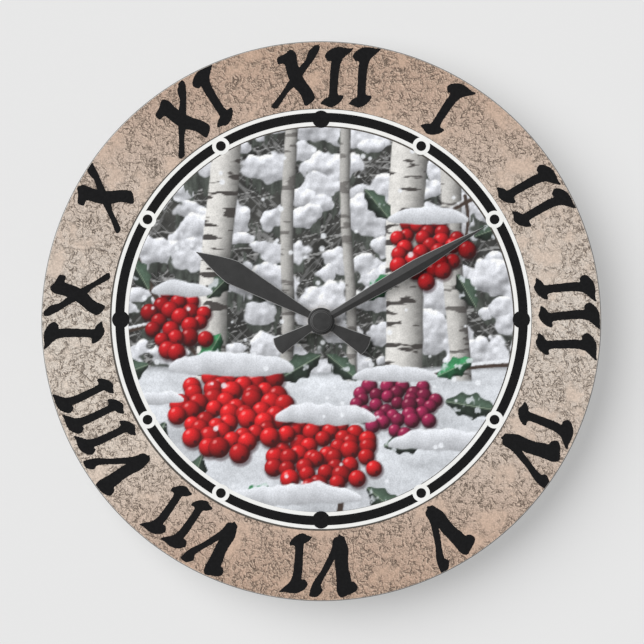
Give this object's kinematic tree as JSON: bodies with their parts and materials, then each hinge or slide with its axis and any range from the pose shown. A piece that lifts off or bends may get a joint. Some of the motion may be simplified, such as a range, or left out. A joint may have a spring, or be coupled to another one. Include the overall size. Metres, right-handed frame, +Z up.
{
  "type": "wall clock",
  "caption": "Round frameless wall clock: a printed acrylic disc with hour and minute hands, carried and driven by a battery quartz movement that hangs on a nail.",
  "frame": {"origin": "on the hands' axis, in the plane of the wall that the movement's back rests on", "axes": "+Z up, -Y from the wall towards the viewer, so that the dial faces -Y; +X to the right as seen from the front"},
  "size_m": [0.273, 0.0297, 0.273],
  "materials": {
    "printed_acrylic": "3 mm acrylic with a printed front",
    "hand_metal": "pressed sheet in semi-matt charcoal paint",
    "case_plastic": "moulded, fine texture",
    "white_plastic": "moulded",
    "gear_plastic": "moulded acetal, natural colour",
    "knob_plastic": "moulded, scalloped grip",
    "bush_brass": "turned",
    "washer_rubber": "smooth",
    "magnet": "sintered ring magnet",
    "motor_steel": "stamped soft iron",
    "copper_wire": "enamelled copper wire",
    "board_laminate": "glass-resin laminate with solder mask",
    "crystal_can": "drawn can",
    "chip_resin": "cast resin drop",
    "cell_wrap": null,
    "contact_steel": "nickel-plated spring strip"
  },
  "bodies": {
    "base": {"dial_plate": "printed_acrylic", "movement_case": "case_plastic", "case_cover": "case_plastic", "train_plate": "white_plastic", "threaded_bush": "bush_brass", "rubber_washer": "washer_rubber", "flat_washer": "bush_brass", "hex_nut": "bush_brass", "stator": "motor_steel", "coil_core": "motor_steel", "coil_bobbin": "white_plastic", "coil_winding": "copper_wire", "circuit_board": "board_laminate", "quartz_crystal": "crystal_can", "chip_cover": "chip_resin", "positive_contact": "contact_steel", "negative_contact": "contact_steel"},
    "minute": {"minute_pipe": "bush_brass", "minute_hand": "hand_metal", "hand_cap": "hand_metal"},
    "hour": {"hour_wheel": "gear_plastic", "hour_hand": "hand_metal"},
    "motion": {"motion_wheel": "gear_plastic"},
    "setting": {"setting_arbor": "gear_plastic", "setting_knob": "knob_plastic"},
    "rotor": {"rotor_pinion": "gear_plastic", "rotor_magnet": "magnet"},
    "intermediate": {"intermediate_wheel": "gear_plastic"},
    "second": {"second_wheel": "gear_plastic"},
    "third": {"third_wheel": "gear_plastic"},
    "centre": {"centre_wheel": "gear_plastic"},
    "cell": {"battery": "cell_wrap"}
  },
  "joints": [
    {"name": "minute_spin", "type": "hinge", "parent": "base", "child": "minute", "pos_m": [0, 0, 0], "axis": [0, 1, 0], "continuous": true},
    {"name": "hour_spin", "type": "hinge", "parent": "base", "child": "hour", "pos_m": [0, 0, 0], "axis": [0, 1, 0], "continuous": true},
    {"name": "motion_spin", "type": "hinge", "parent": "base", "child": "motion", "pos_m": [0.00233, 0, 0.00869], "axis": [0, 1, 0], "continuous": true},
    {"name": "setting_spin", "type": "hinge", "parent": "base", "child": "setting", "pos_m": [0.00683, 0, 0.01649], "axis": [0, 1, 0], "continuous": true},
    {"name": "rotor_spin", "type": "hinge", "parent": "base", "child": "rotor", "pos_m": [-0.01394, 0, 0.01074], "axis": [0, 1, 0], "continuous": true},
    {"name": "intermediate_spin", "type": "hinge", "parent": "base", "child": "intermediate", "pos_m": [-0.00758, 0, 0.00438], "axis": [0, 1, 0], "continuous": true},
    {"name": "second_spin", "type": "hinge", "parent": "base", "child": "second", "pos_m": [0, 0, 0], "axis": [0, 1, 0], "continuous": true},
    {"name": "third_spin", "type": "hinge", "parent": "base", "child": "third", "pos_m": [0.00846, 0, 0.00308], "axis": [0, 1, 0], "continuous": true},
    {"name": "centre_spin", "type": "hinge", "parent": "base", "child": "centre", "pos_m": [0, 0, 0], "axis": [0, 1, 0], "continuous": true},
    {"name": "battery_slide", "type": "slide", "parent": "base", "child": "cell", "axis": [0, 1, 0], "range_m": [0, 0.018]}
  ],
  "couplings": [
    {"joint": "motion_spin", "follows": "minute_spin", "ratio": -0.33333},
    {"joint": "hour_spin", "follows": "minute_spin", "ratio": 0.083333},
    {"joint": "setting_spin", "follows": "minute_spin", "ratio": 1},
    {"joint": "intermediate_spin", "follows": "rotor_spin", "ratio": -0.2},
    {"joint": "second_spin", "follows": "rotor_spin", "ratio": 0.033333},
    {"joint": "third_spin", "follows": "rotor_spin", "ratio": -0.0041667},
    {"joint": "centre_spin", "follows": "rotor_spin", "ratio": 0.00055556}
  ]
}
